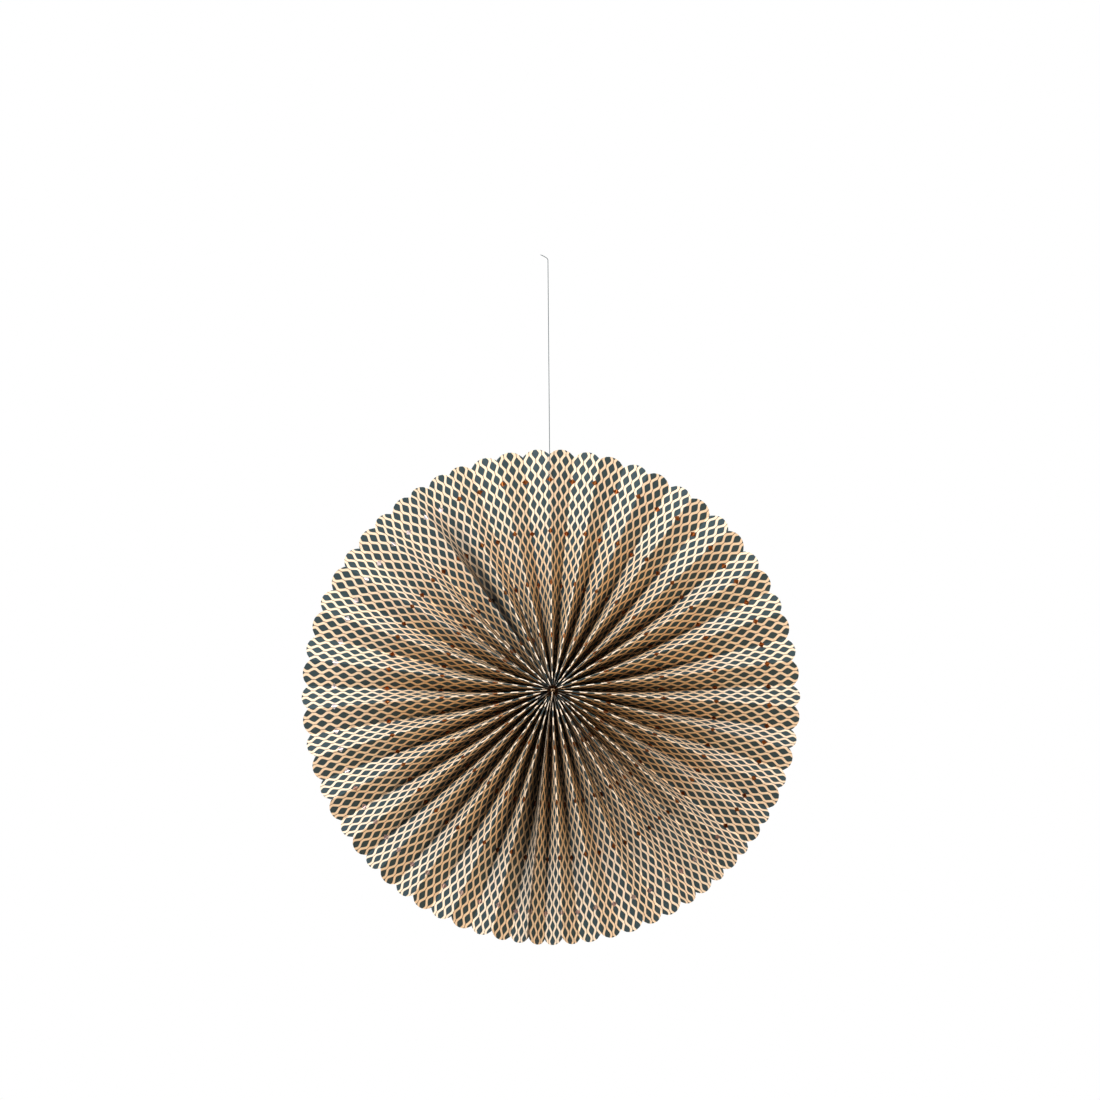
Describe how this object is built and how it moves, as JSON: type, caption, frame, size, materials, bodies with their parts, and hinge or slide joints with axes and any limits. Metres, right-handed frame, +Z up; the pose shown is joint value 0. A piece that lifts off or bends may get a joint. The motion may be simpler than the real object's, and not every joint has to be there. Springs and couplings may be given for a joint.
{
  "type": "paper fan rosette",
  "caption": "Round pleated paper fan with a scalloped rim, spread from a folded strip and hung upright on a thread through its top ridge.",
  "frame": {"origin": "the bend at the top of the hanging thread, where a hook or pin holds it", "axes": "+Z up along the thread, +X to the right as seen from the front, +Y from the front of the fan to its back"},
  "size_m": [0.398, 0.0473, 0.555],
  "materials": {
    "paper": "matt uncoated paper printed with dark slate lozenges and thin copper foil lines",
    "thread": "twisted grey-green cotton thread"
  },
  "bodies": {
    "root": {"pleated_sheet": "paper", "gather_thread": "thread", "hanging_thread": "thread", "thread_knot": "thread"}
  },
  "joints": []
}
